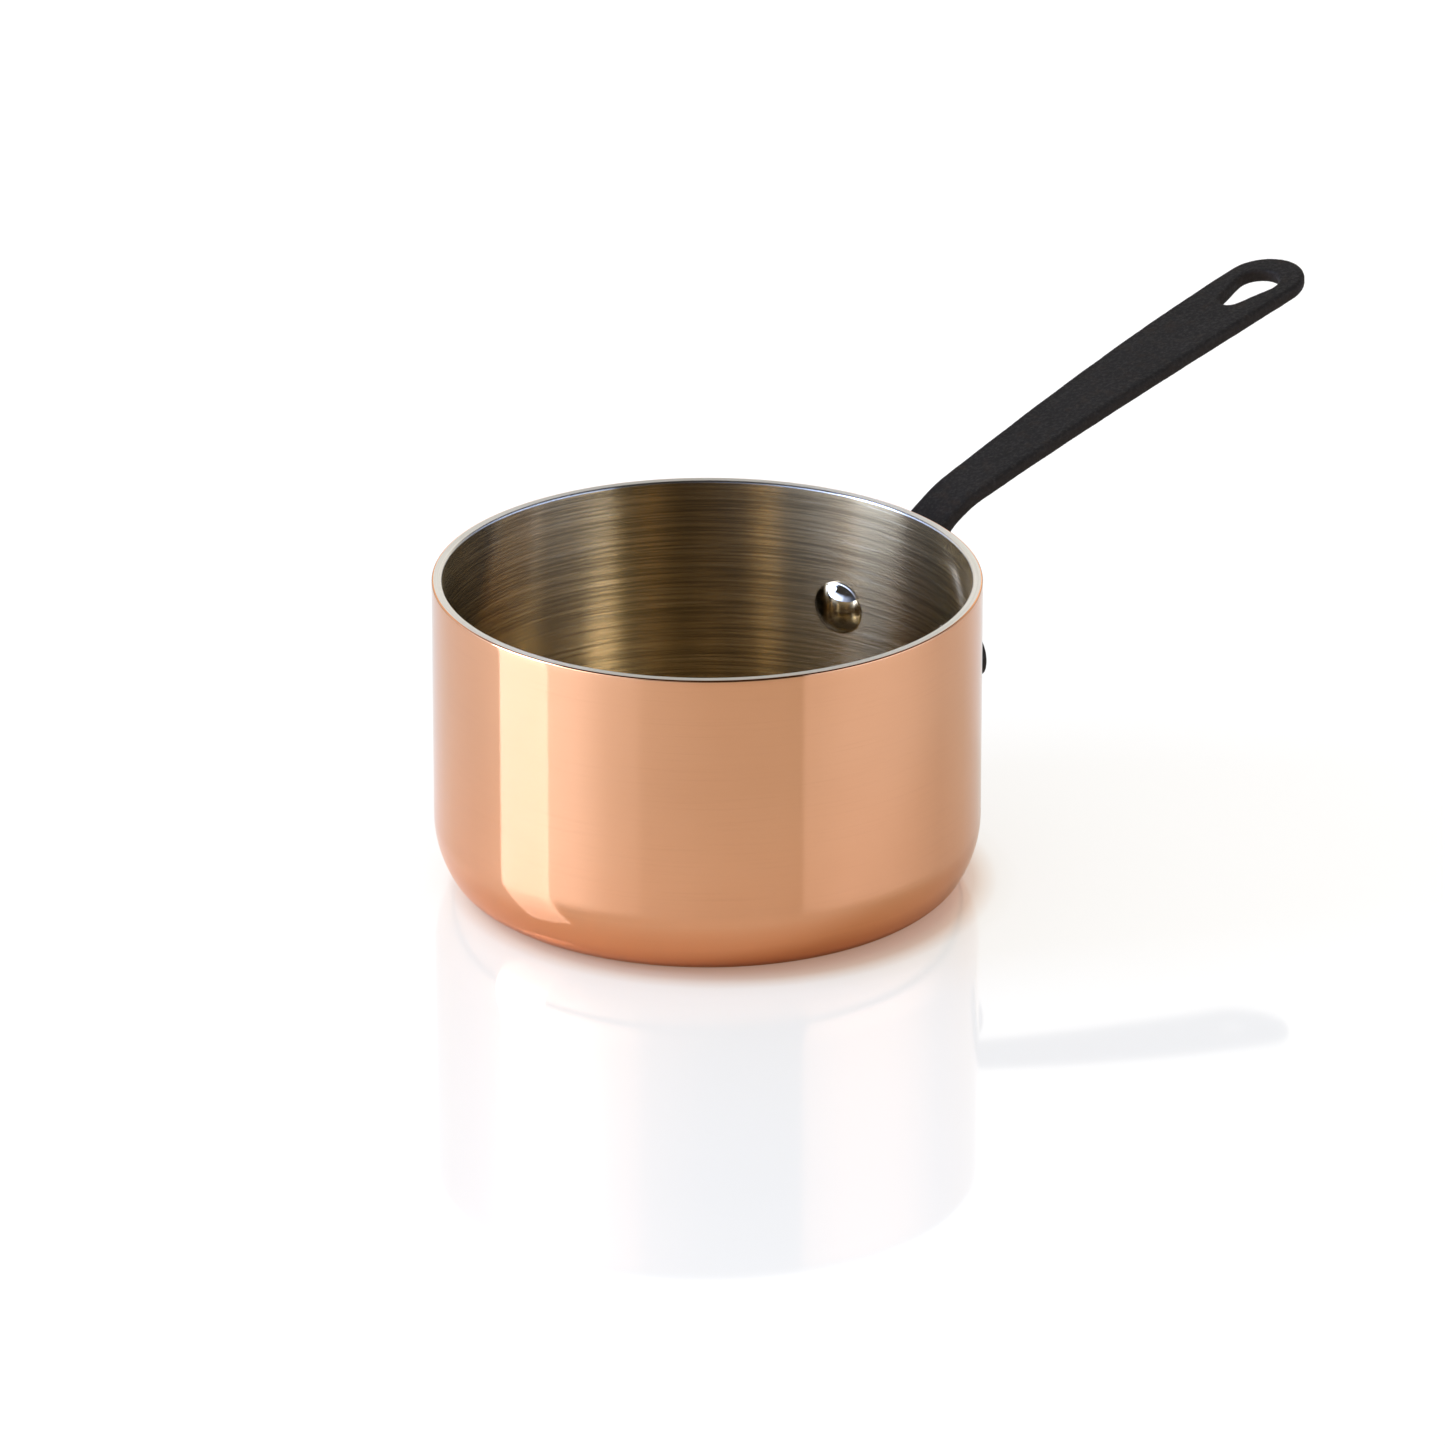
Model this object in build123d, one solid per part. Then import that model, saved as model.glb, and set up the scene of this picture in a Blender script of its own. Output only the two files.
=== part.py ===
from build123d import *
from math import asin, atan2, cos, degrees, hypot, radians, sin, tan
import os

# Small clad saucepan with a riveted cast-iron handle. Millimetres, +Z up.
# The origin is the centre of the base, on the surface that the pan stands on.
# The handle points along +X. The wall is three bonded layers.

# ---- Pan body ----
pan_diameter = 90.0
pan_height = 52.7
copper_thickness = 0.3
core_thickness = 1.0
liner_thickness = 0.4
base_corner_radius = 6.5      # tight arc that leaves the base
wall_corner_radius = 17.0     # wide arc that runs into the wall
corner_split = 60.0           # degrees of the corner that the tight arc turns

# ---- Handle: flange against the wall ----
flange_height = 32.4          # height of the flange's centre line and of both rivets
flange_thickness = 3.0
flange_turn = -3.0            # degrees round the pan, from the strap's line to the flange's centre
flange_half_length = 21.0     # from the flange's centre to the tip of an ear, across the pan
flange_rise = 8.6             # above the centre line, in the middle
flange_drop = 6.5             # below the centre line, in the middle
ear_tip_radius = 3.2

# ---- Handle: strap ----
# Seen from the side the strap's top is two arcs: a bend at the wall, then a long, nearly straight run.
strap_thickness = 2.4
root_rise = 9.6               # top of the strap at the wall, above the flange's centre line
root_steepness = 57.5         # degrees
bend_radius = 26.0
run_steepness = 15.5          # degrees, where the bend ends and the run starts
run_radius = 1020.0
# Seen from above it has a flare at the wall, a neck and a paddle with a full-round end.
neck_reach = 10.0             # from the wall to the narrowest place
neck_half_width = 4.35
neck_radius = 18.0            # of the flare, from the neck back to the wall
neck_taper = 2.1              # degrees, how fast the strap widens past the neck
paddle_reach = 87.9           # from the wall to the centre of the round end
paddle_half_width = 7.2       # also the radius of the round end
tail_drop = 11.5              # how far the tail runs down the flange, below the strap's root
tail_turn = 25.0              # degrees of the bend that the tail takes up
edge_round = 0.8              # on the long edges of the strap, the tail and the flange
hole_edge_round = 0.5

# ---- Hanging hole, a teardrop on the strap's centre line ----
hole_setback = 1.3            # centre of the wide end, back from the centre of the paddle's round
hole_wide_radius = 3.7
hole_narrow_radius = 2.0
hole_centres = 6.8            # between the centres of the two ends

# ---- Rivets ----
rivet_pitch = 29.0            # between the two rivets, along the outside of the wall
rivet_shank_diameter = 4.8
rivet_hole_clearance = 0.05   # all round the shank
inner_head_diameter = 9.1
inner_head_dome = 1.7
inner_head_edge = 0.4         # straight edge under the dome
outer_head_diameter = 6.6
outer_head_dome = 0.8
outer_head_edge = 0.3

# ---- Worked out from the sizes above ----
pan_radius = pan_diameter / 2
wall_thickness = copper_thickness + core_thickness + liner_thickness
inner_radius = pan_radius - wall_thickness
flange_radius = pan_radius + flange_thickness
rivet_angle = degrees(rivet_pitch / 2 / pan_radius)
rivet_hole_radius = rivet_shank_diameter / 2 + rivet_hole_clearance
corner_difference = wall_corner_radius - base_corner_radius
corner_run = wall_corner_radius - corner_difference * sin(radians(corner_split))
corner_rise = base_corner_radius + corner_difference * cos(radians(corner_split))


def layer(outer_depth, inner_depth):
    """One layer of the body, between two depths measured in from the outer skin."""
    base_centre = (pan_radius - corner_run, base_corner_radius)
    wall_centre = (pan_radius - wall_corner_radius, corner_rise)

    def on_arc(centre, radius, turned):
        angle = radians(turned - 90)
        return (centre[0] + radius * cos(angle), centre[1] + radius * sin(angle))

    def skin(depth):
        tight = base_corner_radius - depth
        wide = wall_corner_radius - depth
        start = on_arc(base_centre, tight, 0)
        split = on_arc(base_centre, tight, corner_split)
        finish = on_arc(wall_centre, wide, 90)
        return [
            Line((0, depth), start),
            ThreePointArc(start, on_arc(base_centre, tight, corner_split / 2), split),
            ThreePointArc(split, on_arc(wall_centre, wide, (corner_split + 90) / 2), finish),
            Line(finish, (pan_radius - depth, pan_height)),
        ]

    rim = Line((pan_radius - outer_depth, pan_height), (pan_radius - inner_depth, pan_height))
    axis = Line((0, outer_depth), (0, inner_depth))
    outline = Curve() + skin(outer_depth) + skin(inner_depth) + [rim, axis]
    return revolve(Plane.XZ * make_face(outline), Axis.Z)


def at_rivet(side):
    """A frame at the pan's axis, at the rivets' height, with its Z along one rivet's shank."""
    turn = radians(flange_turn + side * rivet_angle)
    direction = Vector(cos(turn), sin(turn), 0)
    return Plane(origin=(0, 0, flange_height), x_dir=(0, 0, 1), z_dir=direction)


def rivet_hole(side):
    """A cutter for the wall and the flange, along one rivet's shank."""
    length = flange_radius + outer_head_diameter
    return at_rivet(side) * Cylinder(rivet_hole_radius, length, align=(Align.CENTER, Align.CENTER, Align.MIN))


def head(diameter, edge, dome, seat):
    """A rivet head about Z, reaching seat below its edge so that a curved wall can trim it."""
    half = diameter / 2
    outline = Curve() + [
        Polyline((0, edge + dome), (0, -seat), (half, -seat), (half, edge)),
        ThreePointArc((half, edge), *dome_points(half, edge, dome)),
    ]
    return revolve(Plane.XZ * make_face(outline), Axis.Z)


def dome_points(half, edge, dome):
    """The middle and the top of a dome's arc, from its edge to its crown."""
    radius = (half ** 2 + dome ** 2) / (2 * dome)
    centre = edge + dome - radius
    turned = atan2(half, edge - centre) / 2
    return (radius * sin(turned), centre + radius * cos(turned)), (0, edge + dome)


def make_rivet(side):
    """A solid rivet: a domed head inside the pan and an upset head on the flange."""
    frame = at_rivet(side)
    bore = Pos(0, 0, pan_height / 2) * Cylinder(inner_radius, 2 * pan_height)
    drum = Pos(0, 0, pan_height / 2) * Cylinder(flange_radius, 2 * pan_height)
    inner = Pos(0, 0, inner_radius) * Rot(0, 180, 0) * head(
        inner_head_diameter, inner_head_edge, inner_head_dome, wall_thickness)
    outer = Pos(0, 0, flange_radius) * head(
        outer_head_diameter, outer_head_edge, outer_head_dome, flange_thickness)
    shank_start = inner_radius - inner_head_edge
    shank_length = flange_radius - shank_start
    shank = Pos(0, 0, shank_start) * Cylinder(
        rivet_shank_diameter / 2, shank_length, align=(Align.CENTER, Align.CENTER, Align.MIN))
    return (frame * inner & bore) + frame * shank + (frame * outer - drum)


def heading(steepness):
    """A direction in the XZ plane, so many degrees above +X."""
    return Vector(cos(radians(steepness)), 0, sin(radians(steepness)))


def outward(steepness):
    """The direction square to a heading, upwards."""
    return Vector(-sin(radians(steepness)), 0, cos(radians(steepness)))


strap_root = Vector(pan_radius, 0, flange_height + root_rise)
bend_centre = strap_root - bend_radius * outward(root_steepness)
run_centre = bend_centre + (bend_radius - run_radius) * outward(run_steepness)


def on_bend(steepness, depth=0.0):
    """A point of the bend, where the strap has this steepness, so deep under its top."""
    return bend_centre + (bend_radius - depth) * outward(steepness)


def on_run(steepness, depth=0.0):
    """A point of the long run, where the strap has this steepness, so deep under its top."""
    return run_centre + (run_radius - depth) * outward(steepness)


def steepness_at(reach):
    """The run's steepness in degrees at a distance from the wall."""
    return degrees(asin((run_centre.X - pan_radius - reach) / run_radius))


past_tip = steepness_at(paddle_reach + 2 * paddle_half_width)


def strap_side():
    """The strap's outline from the side, from inside the wall to past the tip."""
    buried = -flange_thickness * heading(root_steepness)
    bend_middle = (root_steepness + run_steepness) / 2
    run_middle = (run_steepness + past_tip) / 2
    lines = []
    for depth in (0, strap_thickness):
        root = on_bend(root_steepness, depth)
        lines += [
            Line(root + buried, root),
            ThreePointArc(root, on_bend(bend_middle, depth), on_bend(run_steepness, depth)),
            ThreePointArc(on_run(run_steepness, depth), on_run(run_middle, depth), on_run(past_tip, depth)),
        ]
    lines.append(Line(strap_root + buried, on_bend(root_steepness, strap_thickness) + buried))
    lines.append(Line(on_run(past_tip), on_run(past_tip, strap_thickness)))
    return make_face(Curve() + lines)


def strap_plan():
    """The strap's outline from above."""
    neck = pan_radius + neck_reach
    round_centre = pan_radius + paddle_reach
    handle_length = (paddle_reach - neck_reach) / 3
    flare_centre_x = neck - neck_radius * sin(radians(neck_taper))
    flare_centre_y = neck_half_width + neck_radius * cos(radians(neck_taper))
    flare_turn = degrees(asin((flare_centre_x - pan_radius + flange_thickness) / neck_radius))

    def on_flare(turn):
        angle = radians(turn)
        return flare_centre_x - neck_radius * sin(angle), flare_centre_y - neck_radius * cos(angle)

    def mirrored(point, side):
        return point[0], side * point[1]

    flare = [on_flare(flare_turn), on_flare((flare_turn - neck_taper) / 2), (neck, neck_half_width)]
    widening = [
        (neck, neck_half_width),
        (neck + handle_length, neck_half_width + handle_length * tan(radians(neck_taper))),
        (round_centre - handle_length, paddle_half_width),
        (round_centre, paddle_half_width),
    ]
    lines = [Line(mirrored(flare[0], 1), mirrored(flare[0], -1))]
    for side in (1, -1):
        lines.append(ThreePointArc(*[mirrored(point, side) for point in flare]))
        lines.append(Bezier(*[mirrored(point, side) for point in widening]))
    lines.append(ThreePointArc(
        (round_centre, paddle_half_width),
        (round_centre + paddle_half_width, 0),
        (round_centre, -paddle_half_width),
    ))
    return make_face(Curve() + lines)


def slab(profile, half_width):
    """A side profile in the XZ plane, made as wide as twice half_width."""
    return extrude(Pos(0, -half_width, 0) * profile, amount=2 * half_width, dir=(0, 1, 0))


def round_edges(solid, radius, keep):
    """Round the edges of a solid that keep picks by their middle point and direction."""
    picked = [edge for edge in solid.edges() if keep(edge @ 0.5, edge % 0.5)]
    return fillet(picked, radius)


def make_strap():
    """The bent strap, as thick as its side outline and as wide as its plan."""
    column = extrude(strap_plan(), amount=2 * pan_height)
    strap = slab(strap_side(), 2 * paddle_half_width) & column
    strap -= hole_cutter()
    strap = round_edges(strap, hole_edge_round, in_hole)
    return round_edges(strap, edge_round, along_strap)


def along_strap(place, along):
    """Whether an edge runs along a side of the strap or round its tip."""
    upright = abs(along.Z) > 0.9
    beside = abs(place.Y) > neck_half_width / 2
    at_tip = place.X > pan_radius + paddle_reach + paddle_half_width / 2
    return place.X > pan_radius and not upright and (beside or at_tip) and not in_hole(place, along)


def make_tail():
    """The rib that carries the strap's root down onto the flange."""
    low = flange_height + root_rise - tail_drop
    foot = Vector(flange_radius, 0, low)
    turned = root_steepness - tail_turn
    meeting = on_bend(turned, strap_thickness)
    buried = pan_radius - flange_thickness
    profile = make_face(Curve() + [
        Spline(foot, meeting, tangents=[(0, 0, 1), heading(turned)]),
        Polyline(meeting, on_bend(turned, strap_thickness / 2), strap_root,
                 (buried, 0, strap_root.Z), (buried, 0, low), foot),
    ])
    tail = slab(profile, neck_half_width)
    return round_edges(tail, edge_round, along_tail)


def along_tail(place, along):
    """Whether an edge runs down a side of the tail, below the strap's root."""
    below = place.Z < strap_root.Z
    return below and place.X > flange_radius and abs(place.Y) > neck_half_width / 2


def make_flange():
    """The long thin plate that hugs the wall, with a rounded ear past each rivet."""
    ear = flange_half_length - ear_tip_radius

    def meeting(side, crown):
        """Where the long arc over the crown runs smoothly into the round of one ear."""
        long_radius = (ear ** 2 + crown ** 2 - ear_tip_radius ** 2) / 2 / (crown - ear_tip_radius)
        lean = atan2(ear, long_radius - crown)
        return Vector(side * (ear + ear_tip_radius * sin(lean)), ear_tip_radius * cos(lean))

    rise_right, rise_left = meeting(1, flange_rise), meeting(-1, flange_rise)
    drop_right, drop_left = meeting(1, flange_drop), meeting(-1, flange_drop)
    drop_right.Y, drop_left.Y = -drop_right.Y, -drop_left.Y
    outline = make_face(Curve() + [
        ThreePointArc(rise_left, (0, flange_rise), rise_right),
        ThreePointArc(rise_right, (flange_half_length, 0), drop_right),
        ThreePointArc(drop_right, (0, -flange_drop), drop_left),
        ThreePointArc(drop_left, (-flange_half_length, 0), rise_left),
    ])
    facing_out = Plane(origin=(0, 0, flange_height), x_dir=(0, 1, 0), z_dir=(1, 0, 0))
    bar = extrude(facing_out * outline, amount=2 * pan_radius)
    flange = bar & drum(flange_radius)
    return Rot(0, 0, flange_turn) * round_edges(flange, edge_round, on_flange_face)


def on_flange_face(place, along):
    """Whether an edge lies on the outer face of the flange."""
    return hypot(place.X, place.Y) > pan_radius + flange_thickness / 2


def drum(radius):
    """An upright cylinder about the pan's axis, taller than the pan."""
    return Pos(0, 0, pan_height) * Cylinder(radius, 4 * pan_height)


def hole_cutter():
    """The teardrop, square to the strap where it passes through."""
    steepness = steepness_at(paddle_reach - hole_setback - hole_centres / 2)
    frame = Plane(origin=on_run(steepness), x_dir=heading(steepness), z_dir=outward(steepness))
    wide, narrow = Vector(hole_centres / 2, 0), Vector(-hole_centres / 2, 0)
    lean = asin((hole_wide_radius - hole_narrow_radius) / hole_centres)
    above, below = Vector(-sin(lean), cos(lean)), Vector(-sin(lean), -cos(lean))
    ahead = Vector(1, 0)
    outline = make_face(Curve() + [
        Line(narrow + hole_narrow_radius * above, wide + hole_wide_radius * above),
        ThreePointArc(wide + hole_wide_radius * above, wide + hole_wide_radius * ahead,
                      wide + hole_wide_radius * below),
        Line(wide + hole_wide_radius * below, narrow + hole_narrow_radius * below),
        ThreePointArc(narrow + hole_narrow_radius * below, narrow - hole_narrow_radius * ahead,
                      narrow + hole_narrow_radius * above),
    ])
    return extrude(frame * outline, amount=2 * strap_thickness, both=True)


def in_hole(place, along):
    """Whether an edge lies along the rim of the hanging hole."""
    back = pan_radius + paddle_reach - place.X
    ahead = hole_wide_radius - hole_setback + hole_edge_round
    behind = hole_setback + hole_centres + hole_narrow_radius + hole_edge_round
    beside = abs(place.Y) < hole_wide_radius + hole_edge_round
    return beside and -ahead < back < behind and abs(along.Z) < 0.5


def make_handle():
    """One casting: strap, tail and flange, seated on the wall and cut for the rivets and the hole."""
    handle = make_strap() + make_tail() + make_flange() - drum(pan_radius)
    for side in (1, -1):
        handle -= rivet_hole(side)
    return handle


def export(name, shape):
    """Write one piece to the parts folder."""
    shape.label = name
    export_step(shape, "parts/" + name + ".step")


def main():
    os.makedirs("parts", exist_ok=True)
    depth = 0.0
    for name, thickness in (
        ("copper_shell", copper_thickness),
        ("aluminium_core", core_thickness),
        ("steel_liner", liner_thickness),
    ):
        body = layer(depth, depth + thickness)
        for side in (1, -1):
            body -= rivet_hole(side)
        export(name, body)
        depth += thickness
    export("handle", make_handle())
    for name, side in (("rivet_left", 1), ("rivet_right", -1)):
        export(name, make_rivet(side))


main()
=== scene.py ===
from math import asin, atan2, cos, hypot, pi, radians, sin

import bpy
import numpy as np
from mathutils import Matrix, Vector, noise
from mathutils.bvhtree import BVHTree


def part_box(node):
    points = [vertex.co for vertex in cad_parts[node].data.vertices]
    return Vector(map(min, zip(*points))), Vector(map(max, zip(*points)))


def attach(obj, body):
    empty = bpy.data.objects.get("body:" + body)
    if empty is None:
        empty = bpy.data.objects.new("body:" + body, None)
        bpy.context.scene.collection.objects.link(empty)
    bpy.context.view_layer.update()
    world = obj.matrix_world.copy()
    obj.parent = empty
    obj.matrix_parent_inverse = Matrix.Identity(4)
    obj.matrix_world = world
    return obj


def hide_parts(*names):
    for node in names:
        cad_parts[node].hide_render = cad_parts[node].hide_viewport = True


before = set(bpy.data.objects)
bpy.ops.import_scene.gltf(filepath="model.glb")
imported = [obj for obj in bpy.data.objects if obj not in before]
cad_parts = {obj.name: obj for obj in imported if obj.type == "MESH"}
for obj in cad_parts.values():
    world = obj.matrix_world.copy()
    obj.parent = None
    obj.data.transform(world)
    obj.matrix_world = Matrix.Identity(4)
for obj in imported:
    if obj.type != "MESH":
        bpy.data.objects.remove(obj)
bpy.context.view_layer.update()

MM = 0.001
MICRON = 0.000001


# ---------------------------------------------------------------- shader maths

class Value:
    """A shader socket that takes part in sums and products. Each operator adds a Math node."""

    def __init__(self, graph, socket):
        self.graph, self.socket = graph, socket

    def math(self, operation, *others):
        return self.graph.math(operation, self, *others)

    def __add__(self, other):
        return self.math("ADD", other)

    def __sub__(self, other):
        return self.math("SUBTRACT", other)

    def __rsub__(self, other):
        return self.graph.math("SUBTRACT", other, self)

    def __mul__(self, other):
        return self.math("MULTIPLY", other)

    def __truediv__(self, other):
        return self.math("DIVIDE", other)

    def __rtruediv__(self, other):
        return self.graph.math("DIVIDE", other, self)

    __radd__ = __add__
    __rmul__ = __mul__


class Graph:
    """The node tree of one material or of the world."""

    def __init__(self, owner):
        owner.use_nodes = True
        self.tree = owner.node_tree
        self.tree.nodes.clear()

    def node(self, kind, settings=(), inputs=()):
        """Adds a node: its settings first, then the values or links of its sockets."""
        made = self.tree.nodes.new(kind)
        for name, setting in dict(settings).items():
            if name == "stops":
                self.set_stops(made.color_ramp, setting)
            else:
                setattr(made, name, setting)
        for name, given in dict(inputs).items():
            if isinstance(given, Value):
                self.tree.links.new(given.socket, made.inputs[name])
            else:
                made.inputs[name].default_value = given
        return made

    @staticmethod
    def set_stops(ramp, stops):
        while len(ramp.elements) < len(stops):
            ramp.elements.new(1.0)
        for element, (place, colour) in zip(ramp.elements, stops):
            element.position = place
            element.color = rgb(*colour)

    def value(self, kind, settings=(), inputs=(), output=0):
        return Value(self, self.node(kind, settings, inputs).outputs[output])

    def math(self, operation, *parts):
        return self.value("ShaderNodeMath", {"operation": operation}, enumerate(parts))

    def object_point(self):
        return self.value("ShaderNodeTexCoord", output="Object")

    def split(self, vector):
        made = self.node("ShaderNodeSeparateXYZ", inputs={0: vector})
        return [Value(self, made.outputs[axis]) for axis in range(3)]

    def join(self, x, y, z):
        return self.value("ShaderNodeCombineXYZ", inputs={0: x, 1: y, 2: z})

    def noise(self, vector, scale, detail=2.0, roughness=0.5):
        return self.value("ShaderNodeTexNoise", inputs={
            "Vector": vector, "Scale": scale, "Detail": detail, "Roughness": roughness})

    def ramp(self, factor, stops):
        return self.value("ShaderNodeValToRGB", {"stops": stops}, {"Fac": factor})

    def blend(self, factor, first, second):
        """A colour between two others. The Mix node's colour sockets go by number."""
        settings = {"data_type": "RGBA", "clamp_factor": True}
        return self.value("ShaderNodeMix", settings, {0: factor, 6: first, 7: second}, output=2)

    def span(self, factor, low, high):
        """0 up to a low level, 1 from a high level on, and straight between them."""
        return self.value("ShaderNodeMapRange", {"clamp": True}, {
            "Value": factor, "From Min": low, "From Max": high})

    def bump(self, height, distance, strength=1.0, below=None):
        inputs = {"Height": height, "Distance": distance, "Strength": strength}
        if below is not None:
            inputs["Normal"] = below
        return self.value("ShaderNodeBump", inputs=inputs)

    def surface(self, inputs):
        shader = self.value("ShaderNodeBsdfPrincipled", inputs=inputs)
        self.node("ShaderNodeOutputMaterial", inputs={"Surface": shader})


def rgb(red, green, blue):
    return (red, green, blue, 1.0)


def scaled(colour, factor):
    return rgb(*(part * factor for part in colour))


def new_material(name):
    made = bpy.data.materials.new(name)
    return made, Graph(made)


# ---------------------------------------------------------------- the pan's sizes

shell_low, shell_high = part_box("copper_shell")
core_low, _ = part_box("aluminium_core")
liner_low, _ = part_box("steel_liner")

LINER_THICKNESS = 0.4 * MM
FLANGE_THICKNESS = 3.0 * MM

pan_radius = (shell_high[0] - shell_low[0]) / 2
pan_height = shell_high[2]
copper_thickness = core_low[2] - shell_low[2]
core_thickness = liner_low[2] - core_low[2]
wall_thickness = copper_thickness + core_thickness + LINER_THICKNESS
inner_radius = pan_radius - wall_thickness
flange_radius = pan_radius + FLANGE_THICKNESS


# ---------------------------------------------------------------- materials

# Anisotropic Rotation of a surface brushed round the pan: reflections stretch up and down.
STRETCH_UPRIGHT = 0.25

# The band under the rim where the liner's edge goes from brushed to polished.
LINER_EDGE = (pan_height - 0.42 * MM, pan_height - 0.30 * MM)


def brushed_round(graph, across, along):
    """Streaks round the upright axis: noise cells per metre across them, per radian along them."""
    x, y, z = graph.split(graph.object_point())
    radius = (x * x + y * y).math("SQRT")
    streak_point = graph.join(x / radius * along, y / radius * along, (z + radius) * across)
    return graph.noise(streak_point, 1.0, 3.0, 0.6)


def copper_material():
    """Spun and polished copper under a thin clear lacquer."""
    made, graph = new_material("polished_copper")
    lines = brushed_round(graph, 2600.0, 2.2)
    waves = brushed_round(graph, 300.0, 1.2)
    haze = graph.noise(graph.object_point(), 38.0, 3.0)
    tint = graph.ramp(haze, [(0.30, (0.728, 0.345, 0.163)), (0.70, (0.763, 0.372, 0.181))])
    tint = graph.blend(graph.span(lines, 0.55, 0.80) * 0.25, tint, rgb(0.60, 0.27, 0.13))
    roughness = 0.050 + graph.span(lines, 0.35, 0.75) * 0.05 + graph.span(haze, 0.45, 0.75) * 0.02
    relief = graph.bump(lines, 2.2 * MICRON, 1.0, graph.bump(waves, 8.0 * MICRON, 0.6))
    graph.surface({
        "Base Color": tint, "Metallic": 1.0, "Roughness": roughness, "Normal": relief,
        "Anisotropic": 0.6, "Anisotropic Rotation": STRETCH_UPRIGHT,
        "Coat Weight": 0.3, "Coat Roughness": 0.03, "Coat IOR": 1.5})
    return made


def core_material():
    """The core's turned edge at the rim."""
    made, graph = new_material("turned_aluminium")
    rings = brushed_round(graph, 5200.0, 2.0)
    tint = graph.ramp(rings, [(0.3, (0.55, 0.545, 0.54)), (0.7, (0.68, 0.675, 0.67))])
    roughness = 0.26 + rings * 0.10
    graph.surface({
        "Base Color": tint, "Metallic": 1.0, "Roughness": roughness,
        "Normal": graph.bump(rings, 6.0 * MICRON),
        "Anisotropic": 0.8, "Anisotropic Rotation": STRETCH_UPRIGHT})
    return made


def liner_material():
    """Steel brushed round the pan: dark and bright streaks on a warm grey, and a polished edge."""
    made, graph = new_material("brushed_steel")
    dark_streaks = brushed_round(graph, 3300.0, 1.7)
    bright_streaks = brushed_round(graph, 2100.0, 2.2)
    point = graph.object_point()
    patches = graph.noise(point, 42.0, 3.0)
    tint = graph.blend(patches, rgb(0.68, 0.545, 0.340), rgb(0.76, 0.615, 0.390))
    tint = graph.blend(graph.span(dark_streaks, 0.42, 0.60) * 0.60, tint, rgb(0.24, 0.180, 0.100))
    tint = graph.blend(graph.span(bright_streaks, 0.54, 0.68) * 0.45, tint, rgb(0.98, 0.850, 0.620))
    _, _, height = graph.split(point)
    tint = graph.blend(graph.span(height, *LINER_EDGE), tint, rgb(0.62, 0.605, 0.59))
    roughness = 0.220 + graph.span(dark_streaks, 0.3, 0.75) * 0.03
    relief = graph.bump(dark_streaks, 3.0 * MICRON, 0.8, graph.bump(bright_streaks, 3.0 * MICRON, 0.5))
    graph.surface({
        "Base Color": tint, "Metallic": 1.0, "Roughness": roughness, "Normal": relief,
        "Anisotropic": 1.0, "Anisotropic Rotation": STRETCH_UPRIGHT})
    return made


def rivet_material():
    """Polished steel with a faint haze."""
    made, graph = new_material("polished_rivet_steel")
    haze = graph.noise(graph.object_point(), 900.0, 4.0)
    tint = graph.ramp(haze, [(0.35, (0.60, 0.565, 0.52)), (0.7, (0.70, 0.670, 0.63))])
    roughness = 0.05 + graph.span(haze, 0.4, 0.75) * 0.06
    graph.surface({
        "Base Color": tint, "Metallic": 1.0, "Roughness": roughness,
        "Normal": graph.bump(haze, 3.0 * MICRON)})
    return made


def iron_material():
    """Sand-cast iron with a thin black seasoning, browner in its pits and on its sides."""
    made, graph = new_material("cast_iron_black")
    point = graph.object_point()
    grain = graph.noise(point, 1700.0, 5.0, 0.65)
    pits = graph.noise(point, 700.0, 3.0)
    cloud = graph.noise(point, 90.0, 3.0)
    tint = graph.blend(cloud, rgb(0.0152, 0.0134, 0.0124), rgb(0.0228, 0.0202, 0.0188))
    tint = graph.blend(graph.span(grain, 0.48, 0.72) * 0.55, tint, rgb(0.048, 0.042, 0.039))
    rust = graph.span(graph.noise(point, 420.0, 4.0), 0.54, 0.74)
    tint = graph.blend(rust * 0.35, tint, rgb(0.045, 0.029, 0.019))
    _, _, up = graph.split(graph.value("ShaderNodeNewGeometry", output="Normal"))
    side = 1.0 - graph.span(up.math("ABSOLUTE"), 0.25, 0.75)
    tint = graph.blend(side * 0.5, tint, rgb(0.030, 0.021, 0.015))
    edges = graph.span(graph.value("ShaderNodeNewGeometry", output="Pointiness"), 0.52, 0.60)
    worn = edges * graph.span(grain, 0.35, 0.65)
    tint = graph.blend(worn * 0.30, tint, rgb(0.055, 0.047, 0.040))
    roughness = 0.66 - graph.span(grain, 0.4, 0.7) * 0.14 - worn * 0.08
    relief = graph.bump(grain, 100.0 * MICRON, 0.60, graph.bump(pits, 100.0 * MICRON, 0.45))
    graph.surface({
        "Base Color": tint, "Roughness": roughness, "Specular IOR Level": 0.10, "Normal": relief})
    return made


# ---------------------------------------------------------------- meshes

TINY = 1e-8


def make_object(name, points, faces, material, sharp=35.0):
    """A mesh object with smooth shading, kept sharp past an angle in degrees."""
    mesh = bpy.data.meshes.new(name)
    mesh.from_pydata([tuple(point) for point in points], [], faces)
    shade_smooth(mesh)
    mesh.set_sharp_from_angle(angle=radians(sharp))
    mesh.materials.append(material)
    mesh.validate()
    return link(name, mesh)


def link(name, data):
    made = bpy.data.objects.new(name, data)
    bpy.context.scene.collection.objects.link(made)
    return made


def shade_smooth(mesh):
    mesh.polygons.foreach_set("use_smooth", [True] * len(mesh.polygons))


def place_piece(piece, node):
    """Hangs a piece on the root body and hides the CAD node that it stands for."""
    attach(piece, "root")
    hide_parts(node)


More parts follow.
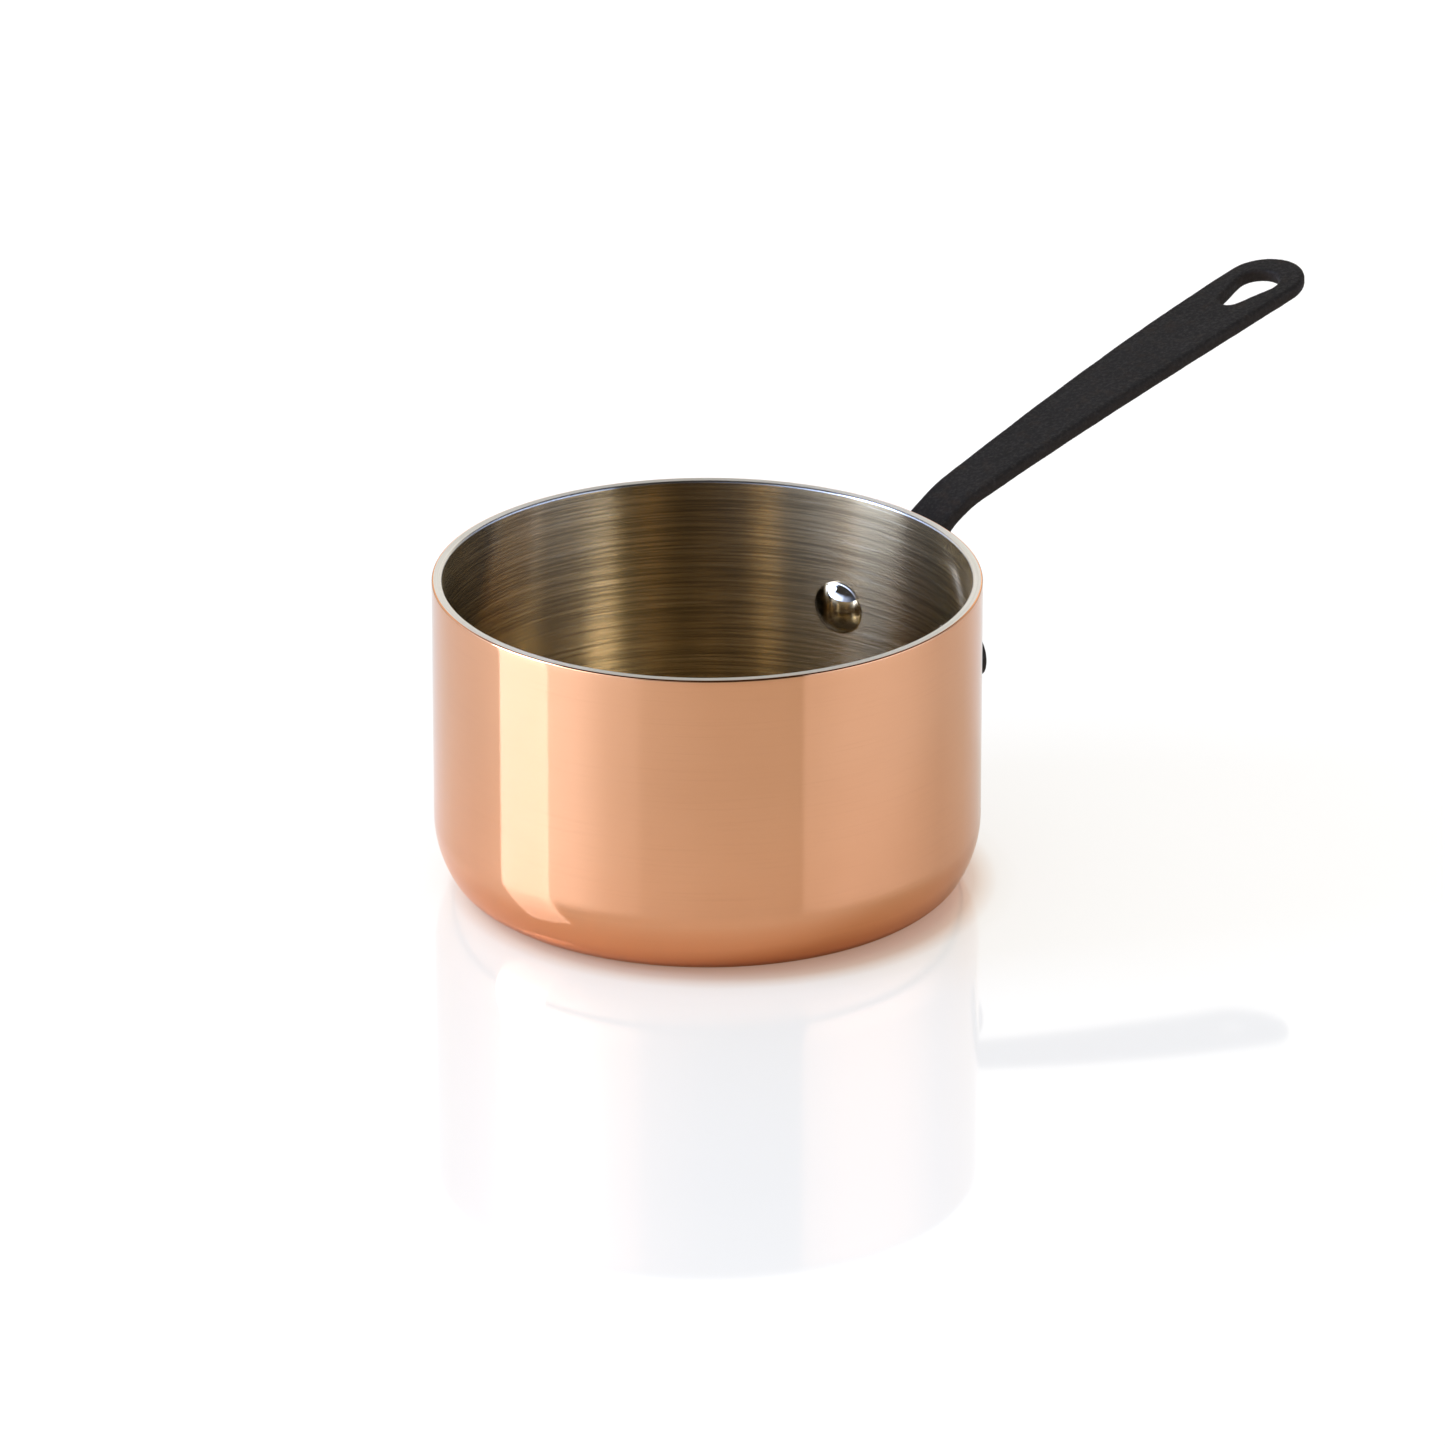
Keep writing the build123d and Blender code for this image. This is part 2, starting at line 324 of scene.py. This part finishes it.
def lathe(outline, segments, place=Matrix.Identity(4)):
    """Points and faces of an outline (radius, height) turned about Z. Ends on the axis are closed."""
    points, rings, faces = [], [], []
    for radius, height in outline:
        if radius < TINY:
            rings.append([len(points)] * segments)
            points.append(place @ Vector((0, 0, height)))
            continue
        rings.append(range(len(points), len(points) + segments))
        for step in range(segments):
            angle = 2 * pi * step / segments
            points.append(place @ Vector((radius * cos(angle), radius * sin(angle), height)))
    for lower, upper in zip(rings, rings[1:]):
        for step in range(segments):
            after = (step + 1) % segments
            corners = [lower[step], lower[after], upper[after], upper[step]]
            faces.append(list(dict.fromkeys(corners)))
    return points, faces


def arc(centre, radius, start, end, steps):
    """Points of an arc, in degrees, with both ends."""
    angles = [radians(start + (end - start) * step / steps) for step in range(steps + 1)]
    return [(centre[0] + radius * cos(a), centre[1] + radius * sin(a)) for a in angles]


def without_repeats(outline):
    """An outline without points that follow their own copy."""
    kept = [outline[0]]
    for point in outline[1:]:
        if hypot(point[0] - kept[-1][0], point[1] - kept[-1][1]) > TINY:
            kept.append(point)
    return kept


# ---------------------------------------------------------------- the pan's three layers

# The bottom corner is a tight arc next to the base, which runs into a wider one below the wall.
BASE_CORNER = 6.5 * MM
WALL_CORNER = 17.0 * MM
CORNER_SPLIT = 60.0
RIM_ROUND_OUT = 0.29 * MM
RIM_ROUND_IN = 0.35 * MM
PAN_SEGMENTS = 512
# The base's steps would reach the pan's side. Its rings end on the flat part.
BASE_STEPS, BASE_RINGS = 24, 19
CORNER_STEPS = 24
WALL_STEPS = 40
ROUND_STEPS = 8

corner_run = WALL_CORNER - (WALL_CORNER - BASE_CORNER) * sin(radians(CORNER_SPLIT))
corner_rise = BASE_CORNER + (WALL_CORNER - BASE_CORNER) * cos(radians(CORNER_SPLIT))


def skin(depth, top):
    """The outline of one skin, from the axis to a height on the wall, so deep under the outside."""
    split = CORNER_SPLIT - 90
    flat_radius = pan_radius - corner_run
    base = [(pan_radius * step / BASE_STEPS, depth) for step in range(BASE_RINGS)]
    base = [point for point in base if point[0] < flat_radius - MM]
    tight = arc((flat_radius, BASE_CORNER), BASE_CORNER - depth, -90, split, CORNER_STEPS)
    wide = arc((pan_radius - WALL_CORNER, corner_rise), WALL_CORNER - depth, split, 0, CORNER_STEPS)
    wall = [(pan_radius - depth, corner_rise + (top - corner_rise) * step / WALL_STEPS)
            for step in range(WALL_STEPS + 1)]
    return without_repeats(base + tight + wide + wall)


def layer_outline(outer, inner, round_out=0.0, round_in=0.0):
    """The outline of one layer, with its rim's edges rounded where asked."""
    out_centre = (pan_radius - outer - round_out, pan_height - round_out)
    in_centre = (pan_radius - inner + round_in, pan_height - round_in)
    out_round = arc(out_centre, round_out, 0, 90, ROUND_STEPS)
    in_round = arc(in_centre, round_in, 90, 180, ROUND_STEPS)
    up = skin(outer, pan_height - round_out)
    down = skin(inner, pan_height - round_in)[::-1]
    return without_repeats(up + out_round + in_round + down)


def make_layer(name, node, slot, material, depths, **rounds):
    points, faces = lathe(layer_outline(*depths, **rounds), PAN_SEGMENTS)
    place_piece(make_object(name, points, faces, material), node)


under_copper = copper_thickness
under_core = copper_thickness + core_thickness
make_layer(
    "copper_outside", "copper_shell", "copper", copper_material(),
    (0.0, under_copper), round_out=RIM_ROUND_OUT)
make_layer(
    "aluminium_band", "aluminium_core", "core", core_material(),
    (under_copper, under_core))
make_layer(
    "steel_inside", "steel_liner", "liner", liner_material(),
    (under_core, wall_thickness), round_in=RIM_ROUND_IN)


# ---------------------------------------------------------------- rivets

HEAD_RADIUS = 4.55 * MM
HEAD_EDGE = 0.4 * MM
HEAD_DOME = 1.7 * MM
OUTER_HEAD_RADIUS = 3.3 * MM
OUTER_HEAD_EDGE = 0.3 * MM
OUTER_HEAD_DOME = 0.8 * MM
HEAD_LIP = 0.25 * MM
SHANK_RADIUS = 2.4 * MM
SEAT_SINK = 0.35 * MM
RIVET_SEGMENTS = 96
DOME_STEPS = 20
LIP_STEPS = 5
RIVET_SHARP = 50.0


def dome(half, edge, rise):
    """A head's outline from its crown out and down to its edge, with a small lip round the dome."""
    width = half - HEAD_LIP
    radius = (width ** 2 + rise ** 2) / (2 * rise)
    turned = asin(min(1.0, width / radius))
    angles = [turned * step / DOME_STEPS for step in range(DOME_STEPS + 1)]
    crown = [(radius * sin(a), edge + rise - radius * (1 - cos(a))) for a in angles]
    return crown + arc((width, edge - HEAD_LIP), HEAD_LIP, 90, 0, LIP_STEPS)[1:]


def make_rivet(name, node, material):
    """Turned about its own axis, which runs out through the wall: heights are radii of the pan."""
    low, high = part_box(node)
    angle = atan2((low[1] + high[1]) / 2, (low[0] + high[0]) / 2)
    outwards = Matrix.Rotation(angle, 4, "Z") @ Matrix.Rotation(radians(90), 4, "Y")
    place = Matrix.Translation((0, 0, (low[2] + high[2]) / 2)) @ outwards
    inner = [(r, inner_radius - z) for r, z in dome(HEAD_RADIUS, HEAD_EDGE, HEAD_DOME)]
    outer = [(r, flange_radius + z)
             for r, z in dome(OUTER_HEAD_RADIUS, OUTER_HEAD_EDGE, OUTER_HEAD_DOME)]
    shank = [
        (HEAD_RADIUS, inner_radius + SEAT_SINK),
        (SHANK_RADIUS, inner_radius + SEAT_SINK),
        (SHANK_RADIUS, flange_radius - SEAT_SINK),
        (OUTER_HEAD_RADIUS, flange_radius - SEAT_SINK)]
    points, faces = lathe(inner + shank + outer[::-1], RIVET_SEGMENTS, place)
    place_piece(make_object(name, points, faces, material, RIVET_SHARP), node)


rivet_finish = rivet_material()
for side in ("left", "right"):
    make_rivet("rivet_head_" + side, "rivet_" + side, rivet_finish)


# ---------------------------------------------------------------- the cast handle

WELD_DISTANCE = 0.002 * MM
VOXEL = 0.32 * MM
MELT_FACTOR, MELT_TIMES = 0.5, 2

# The valleys that are filled lie round the strap's root, from just under the flange's face out.
FILL_FACTOR, FILL_TIMES = 0.5, 14
ROOT_DEPTH, ROOT_DEPTH_FADE = 1.2 * MM, 1.0 * MM
ROOT_HALF_WIDTH, ROOT_WIDTH_FADE = 12.0 * MM, 2.0 * MM
ROOT_END, ROOT_END_FADE = 58.0 * MM, 5.0 * MM

# Sand leaves lumps and grain: how deep they sink the skin, and their noise cells per metre.
LUMP_DEPTH, LUMPS = 0.04 * MM, 260.0
GRAIN_DEPTH, GRAINS = 0.02 * MM, 1500.0


def make_handle(material):
    """The casting: the solid's own shape with its corners melted together and a sand-cast skin."""
    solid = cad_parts["handle"].data
    copy = solid.copy()
    copy.materials.clear()
    made = link("cast_handle", copy)
    weld = made.modifiers.new("weld", "WELD")
    weld.merge_threshold = WELD_DISTANCE
    remesh = made.modifiers.new("remesh", "REMESH")
    remesh.mode = "VOXEL"
    remesh.voxel_size = VOXEL
    melt = made.modifiers.new("melt", "SMOOTH")
    melt.factor, melt.iterations = MELT_FACTOR, MELT_TIMES
    mesh = bake_modifiers(made)
    settle(mesh, solid)
    fill_root(mesh)
    roughen(mesh)
    mesh.materials.append(material)
    shade_smooth(mesh)
    place_piece(made, "handle")


def bake_modifiers(made):
    """Applies a new object's modifiers and returns its finished mesh."""
    evaluated = made.evaluated_get(bpy.context.evaluated_depsgraph_get())
    mesh = bpy.data.meshes.new_from_object(evaluated)
    made.modifiers.clear()
    made.data = mesh
    return mesh


def read_mesh(mesh, what):
    """One row of three numbers for each vertex: its co or its normal."""
    values = np.empty(len(mesh.vertices) * 3)
    mesh.vertices.foreach_get(what, values)
    return values.reshape(-1, 3)


def move_mesh(mesh, points):
    mesh.vertices.foreach_set("co", points.ravel())
    mesh.update()


def settle(mesh, solid):
    """Puts every point back on the nearest place of the solid's surface."""
    corners = [vertex.co for vertex in solid.vertices]
    tree = BVHTree.FromPolygons(corners, [list(face.vertices) for face in solid.polygons])
    places = [tree.find_nearest(Vector(point))[0] for point in read_mesh(mesh, "co")]
    move_mesh(mesh, np.array(places))


def fill_root(mesh):
    """Fills the valleys where the strap and its tail run into the flange."""
    start, normals = read_mesh(mesh, "co"), read_mesh(mesh, "normal")
    ends = np.empty(len(mesh.edges) * 2, dtype=np.int64)
    mesh.edges.foreach_get("vertices", ends)
    first, second = ends.reshape(-1, 2).T
    degree = np.bincount(ends, minlength=len(start)).astype(float)[:, None]
    radius = np.hypot(start[:, 0], start[:, 1])
    near = np.clip((radius - flange_radius + ROOT_DEPTH) / ROOT_DEPTH_FADE, 0, 1)
    near *= np.clip((ROOT_HALF_WIDTH - np.abs(start[:, 1])) / ROOT_WIDTH_FADE, 0, 1)
    near *= np.clip((ROOT_END - start[:, 0]) / ROOT_END_FADE, 0, 1)
    pull = (FILL_FACTOR * near)[:, None]
    points = start.copy()
    for _ in range(FILL_TIMES):
        total = np.zeros_like(points)
        np.add.at(total, first, points[second])
        np.add.at(total, second, points[first])
        points += pull * (total / degree - points)
    filled = np.maximum(0.0, ((points - start) * normals).sum(axis=1))
    move_mesh(mesh, start + normals * filled[:, None])


def dent(place, cells, depth):
    """How deep one kind of unevenness sinks a place."""
    return depth * max(0.0, 0.5 + noise.fractal(Vector(place * cells), 1.0, 2.0, 2))


def roughen(mesh):
    """Sinks the skin a little here and there, as sand casting leaves it."""
    points, normals = read_mesh(mesh, "co"), read_mesh(mesh, "normal")
    depths = [dent(place, LUMPS, LUMP_DEPTH) + dent(place, GRAINS, GRAIN_DEPTH) for place in points]
    move_mesh(mesh, points - normals * np.array(depths)[:, None])


make_handle(iron_material())


# ---------------------------------------------------------------- floor, light and camera

# Turns are degrees round the pan from the camera's side, positive towards the handle.
CAMERA_TURN = -134.7
CAMERA_RISE = 22.44
CAMERA_REACH = 1.8267
LENS = 277.4
SENSOR = 36.0
AIM = Vector((1.77 * MM, -1.75 * MM, 27.0 * MM))


def compass(turn):
    """The level direction at a turn from the camera's side."""
    heading = radians(CAMERA_TURN + turn)
    return Vector((cos(heading), sin(heading), 0))


# The painted shade and painted copper bounce light round the pan's foot lie a little to one side. Their
# ramps go by share of the shade's reach.
FLOOR_HALF = 3.0
SHADE_TURN = 55.0
SHADE_SHIFT = 3.0 * MM
SHADE_REACH = 200.0 * MM
# Floor colour seen in reflections: a painted dark warm shade at the pan's foot, then painted warm bounce
# light from the copper, then plain white.
PAINTED_COPPER_BOUNCE_AND_SHADE = [
    (0.18, (0.66, 0.34, 0.17)), (0.22, (0.95, 0.76, 0.60)), (0.28, (1.0, 0.95, 0.90)),
    (0.60, (0.90, 0.89, 0.87))]
# Floor glow for direct sight: even further out, dimmed near the pan to a painted warm shadow round its
# foot.
FLOOR_GLOW_WITH_PAINTED_SHADOW = [
    (0.195, (0.34, 0.20, 0.14)), (0.207, (0.38, 0.26, 0.19)), (0.214, (0.46, 0.38, 0.32)),
    (0.2275, (0.56, 0.55, 0.53)), (0.245, (0.58, 0.575, 0.565)), (0.60, (0.58, 0.58, 0.58)),
    (1.0, (0.62, 0.62, 0.62))]


def floor_material():
    """Glossy white acrylic with a light below it, so that broad shadows wash out.

    The glow is for direct sight only, dimmed to a painted warm shadow round the pan's foot. In
    reflections the floor is plain white, with painted copper bounce light and painted shade near the
    copper.
    """
    made, graph = new_material("white_gloss_floor")
    point = graph.object_point()
    x, y, _ = graph.split(point)
    centre = SHADE_SHIFT * compass(SHADE_TURN)
    x, y = x - centre.x, y - centre.y
    share = (x * x + y * y).math("SQRT") / SHADE_REACH
    seen = graph.value("ShaderNodeLightPath", output="Is Camera Ray")
    # Reflections see the painted copper bounce light and painted shade near the foot; direct sight sees
    # plain grey.
    tint = graph.blend(seen, graph.ramp(share, PAINTED_COPPER_BOUNCE_AND_SHADE), rgb(0.37, 0.37, 0.37))
    # The glow, dimmed to a painted warm shadow round the pan's foot; none in reflections.
    glow = graph.blend(seen, rgb(0.0, 0.0, 0.0), graph.ramp(share, FLOOR_GLOW_WITH_PAINTED_SHADOW))
    ripple = graph.noise(point, 6.0)
    roughness = 0.04 + graph.span(ripple, 0.4, 0.7) * 0.015
    graph.surface({
        "Base Color": tint, "Roughness": roughness, "IOR": 1.5,
        "Emission Color": glow, "Emission Strength": 1.0})
    return made


def make_floor():
    corners = [(FLOOR_HALF * x, FLOOR_HALF * y, 0) for x, y in ((-1, -1), (1, -1), (1, 1), (-1, 1))]
    make_object("studio_floor", corners, [[0, 1, 2, 3]], floor_material())


# How bright the studio's panels are, turn by turn, and how high they reach, in degrees.
PANELS = [
    (-180, 1.2), (-171, 1.2), (-166, 0.85), (-152, 1.0), (-140, 0.9), (-112, 1.4), (-99, 2.2),
    (-71, 6.0), (-57, 5.0), (-42, 2.4), (-30, 1.6), (-26, 0.8), (0, 0.15), (14, 0.05), (40, 0.05),
    (41.5, 1.4), (62, 2.3), (80, 2.3), (95, 1.9), (115, 0.8), (135, 0.8), (150, 1.0), (166, 1.2),
    (171, 1.3), (180, 1.2)]
PANEL_TOPS = [
    (-180, 34), (-112, 34), (-100, 42), (-74, 42), (-68, 28), (0, 27), (160, 27), (172, 34), (180, 34)]
PANEL_FOOT, FOOT_SOFTNESS = 3.0, 3.0
TOP_SOFTNESS = 5.0
BRIGHTEST = 6.0
STROBE = (0.82, 1.0, 1.45)
BACKDROP = (1.0, 0.955, 0.87)
BACKDROP_TURN = 118
ROOM = (0.030, 0.025, 0.020)
CEILING = (0.06, 0.055, 0.05)
DOME_LEVEL = 0.84


def panel_colour(turn, level):
    light = STROBE if abs(turn) < BACKDROP_TURN else BACKDROP
    return scaled(light, level / BRIGHTEST)[:3]


def stops_by_turn(table, colour):
    return [((turn + 180) / 360, colour(turn, level)) for turn, level in table]


def make_world():
    """Panels round a dark room, for reflections. Matt surfaces get the same light from all sides."""
    world = bpy.data.worlds.new("studio")
    world.cycles.sampling_method = "NONE"
    bpy.context.scene.world = world
    graph = Graph(world)
    x, y, z = graph.split(graph.value("ShaderNodeTexCoord", output="Generated"))
    ahead, across = compass(0), compass(90)
    turn = (x * across.x + y * across.y).math("ARCTAN2", x * ahead.x + y * ahead.y)
    share = turn / (2 * pi) + 0.5
    rise = z.math("ARCSINE")
    panels = graph.ramp(share, stops_by_turn(PANELS, panel_colour))
    top = graph.ramp(share, stops_by_turn(PANEL_TOPS, lambda _, height: [height / 90] * 3)) * (pi / 2)
    above_foot = graph.span(
        rise, radians(PANEL_FOOT - FOOT_SOFTNESS), radians(PANEL_FOOT + FOOT_SOFTNESS))
    above_top = graph.span(rise - top, radians(-TOP_SOFTNESS), radians(TOP_SOFTNESS))
    room = graph.blend(above_top, scaled(ROOM, 1 / BRIGHTEST), scaled(CEILING, 1 / BRIGHTEST))
    colour = graph.blend(above_foot * (1.0 - above_top), room, panels)
    matt = graph.value("ShaderNodeLightPath", output="Is Diffuse Ray")
    seen = graph.value("ShaderNodeLightPath", output="Is Camera Ray")
    colour = graph.blend(matt + seen, colour, rgb(1.0, 1.0, 1.0))
    strength = (1.0 - matt) * (1.0 - seen) * BRIGHTEST + matt * DOME_LEVEL + seen
    background = graph.value("ShaderNodeBackground", inputs={"Color": colour, "Strength": strength})
    graph.node("ShaderNodeOutputWorld", inputs={"Surface": background})


# The tall softbox on the left: the turn and the reach of its two upright edges.
SOFTBOX_EDGES = [(-93.9, 0.641), (-67.9, 0.655)]
SOFTBOX_FOOT, SOFTBOX_TOP = 0.002, 0.62
SOFTBOX_LEVEL = 10.5
MATT_SHARE = 0.5


def make_softbox():
    """A lit panel with an uneven cloth. Matt surfaces get only a share of its light."""
    cloth, graph = new_material("softbox_cloth")
    cloth.cycles.emission_sampling = "NONE"
    weave = graph.span(graph.noise(graph.object_point(), 4.0), 0.4, 0.6)
    light = graph.blend(weave, scaled(STROBE, 0.97), scaled(STROBE, 1.03))
    matt = graph.value("ShaderNodeLightPath", output="Is Diffuse Ray")
    light = graph.blend(matt * (1.0 - MATT_SHARE), light, rgb(0.0, 0.0, 0.0))
    glow = graph.value("ShaderNodeEmission", inputs={"Color": light, "Strength": SOFTBOX_LEVEL})
    graph.node("ShaderNodeOutputMaterial", inputs={"Surface": glow})
    feet = [compass(turn) * reach + Vector((0, 0, SOFTBOX_FOOT)) for turn, reach in SOFTBOX_EDGES]
    tops = [Vector((foot.x, foot.y, SOFTBOX_TOP)) for foot in feet[::-1]]
    panel = make_object("softbox", feet + tops, [[0, 1, 2, 3]], cloth)
    panel.visible_camera = panel.visible_shadow = False


def make_camera():
    data = bpy.data.cameras.new("camera")
    data.lens, data.sensor_width = LENS, SENSOR
    made = link("camera", data)
    rise = radians(CAMERA_RISE)
    eye = AIM + CAMERA_REACH * (compass(0) * cos(rise) + Vector((0, 0, sin(rise))))
    made.location = eye
    made.rotation_euler = (AIM - eye).to_track_quat("-Z", "Y").to_euler()
    bpy.context.scene.camera = made


make_floor()
make_world()
make_softbox()
make_camera()
bpy.context.scene.view_settings.view_transform = "Standard"
